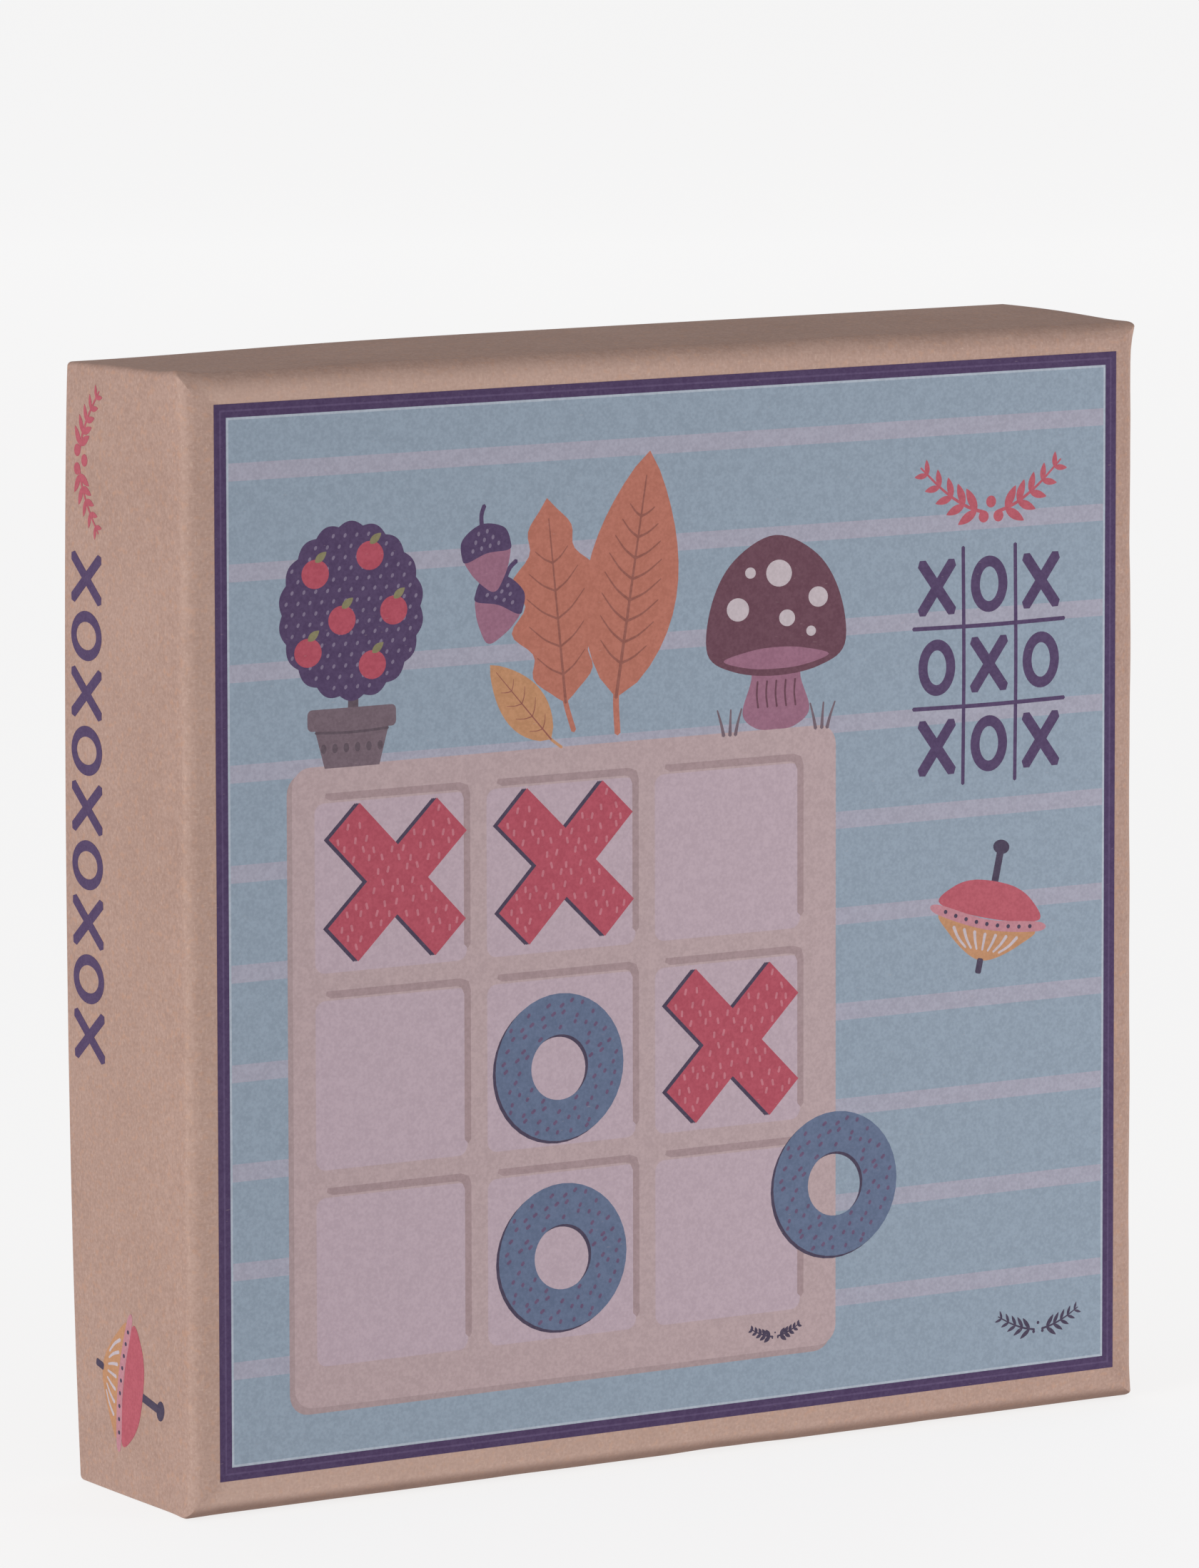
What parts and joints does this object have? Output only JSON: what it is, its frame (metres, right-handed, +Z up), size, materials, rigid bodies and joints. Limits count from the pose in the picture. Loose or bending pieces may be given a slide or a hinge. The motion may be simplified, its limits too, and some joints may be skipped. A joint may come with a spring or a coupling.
{
  "type": "boxed wooden tic-tac-toe game",
  "caption": "Upright square kraft-board gift box with a lift-off lid, holding a wooden tic-tac-toe board with loose cross and ring pieces.",
  "frame": {"origin": "on the surface the box stands on, in the middle of its footprint", "axes": "+X to the right across the printed front, +Z up, the printed front faces -Y; the lid and the contents lift off along -Y"},
  "size_m": [0.21, 0.0446, 0.21],
  "materials": {
    "lid_board": "uncoated kraft board, printed in matte ink",
    "tray_board": "uncoated kraft board",
    "insert_card": "uncoated kraft card",
    "leaflet_paper": "matte",
    "panel_wood": "sanded, unpainted",
    "grid_wood": "sanded, unpainted",
    "red_painted_wood": "matte water-based paint",
    "blue_painted_wood": "matte water-based paint"
  },
  "bodies": {
    "base": {"tray": "tray_board", "insert": "insert_card"},
    "lid": {"lid": "lid_board"},
    "leaflet": {"leaflet": "leaflet_paper"},
    "board": {"board_back": "panel_wood", "board_grid": "grid_wood"},
    "ring_1": {"ring_1": "blue_painted_wood"},
    "cross_1": {"cross_1": "red_painted_wood"},
    "ring_2": {"ring_2": "blue_painted_wood"},
    "cross_2": {"cross_2": "red_painted_wood"},
    "ring_3": {"ring_3": "blue_painted_wood"},
    "cross_3": {"cross_3": "red_painted_wood"},
    "ring_4": {"ring_4": "blue_painted_wood"},
    "cross_4": {"cross_4": "red_painted_wood"},
    "ring_5": {"ring_5": "blue_painted_wood"},
    "cross_5": {"cross_5": "red_painted_wood"}
  },
  "joints": [
    {"name": "lid_lift", "type": "slide", "parent": "base", "child": "lid", "axis": [0, -1, 0], "range_m": [0, 0.24]},
    {"name": "leaflet_lift", "type": "slide", "parent": "base", "child": "leaflet", "axis": [0, -1, 0], "range_m": [0, 0.036]},
    {"name": "board_lift", "type": "slide", "parent": "base", "child": "board", "axis": [0, -1, 0], "range_m": [0, 0.072]},
    {"name": "ring_1_lift", "type": "slide", "parent": "board", "child": "ring_1", "axis": [0, -1, 0], "range_m": [0, 0.036]},
    {"name": "cross_1_lift", "type": "slide", "parent": "board", "child": "cross_1", "axis": [0, -1, 0], "range_m": [0, 0.072]},
    {"name": "ring_2_lift", "type": "slide", "parent": "board", "child": "ring_2", "axis": [0, -1, 0], "range_m": [0, 0.036]},
    {"name": "cross_2_lift", "type": "slide", "parent": "board", "child": "cross_2", "axis": [0, -1, 0], "range_m": [0, 0.072]},
    {"name": "ring_3_lift", "type": "slide", "parent": "board", "child": "ring_3", "axis": [0, -1, 0], "range_m": [0, 0.036]},
    {"name": "cross_3_lift", "type": "slide", "parent": "board", "child": "cross_3", "axis": [0, -1, 0], "range_m": [0, 0.072]},
    {"name": "ring_4_lift", "type": "slide", "parent": "board", "child": "ring_4", "axis": [0, -1, 0], "range_m": [0, 0.036]},
    {"name": "cross_4_lift", "type": "slide", "parent": "board", "child": "cross_4", "axis": [0, -1, 0], "range_m": [0, 0.072]},
    {"name": "ring_5_lift", "type": "slide", "parent": "base", "child": "ring_5", "axis": [0, -1, 0], "range_m": [0, 0.108]},
    {"name": "cross_5_lift", "type": "slide", "parent": "board", "child": "cross_5", "axis": [0, -1, 0], "range_m": [0, 0.072]}
  ],
  "couplings": [
    {"joint": "leaflet_lift", "follows": "lid_lift", "ratio": 0.15},
    {"joint": "board_lift", "follows": "lid_lift", "ratio": 0.3},
    {"joint": "ring_1_lift", "follows": "lid_lift", "ratio": 0.15},
    {"joint": "cross_1_lift", "follows": "lid_lift", "ratio": 0.3},
    {"joint": "ring_2_lift", "follows": "lid_lift", "ratio": 0.15},
    {"joint": "cross_2_lift", "follows": "lid_lift", "ratio": 0.3},
    {"joint": "ring_3_lift", "follows": "lid_lift", "ratio": 0.15},
    {"joint": "cross_3_lift", "follows": "lid_lift", "ratio": 0.3},
    {"joint": "ring_4_lift", "follows": "lid_lift", "ratio": 0.15},
    {"joint": "cross_4_lift", "follows": "lid_lift", "ratio": 0.3},
    {"joint": "ring_5_lift", "follows": "lid_lift", "ratio": 0.45},
    {"joint": "cross_5_lift", "follows": "lid_lift", "ratio": 0.3}
  ]
}
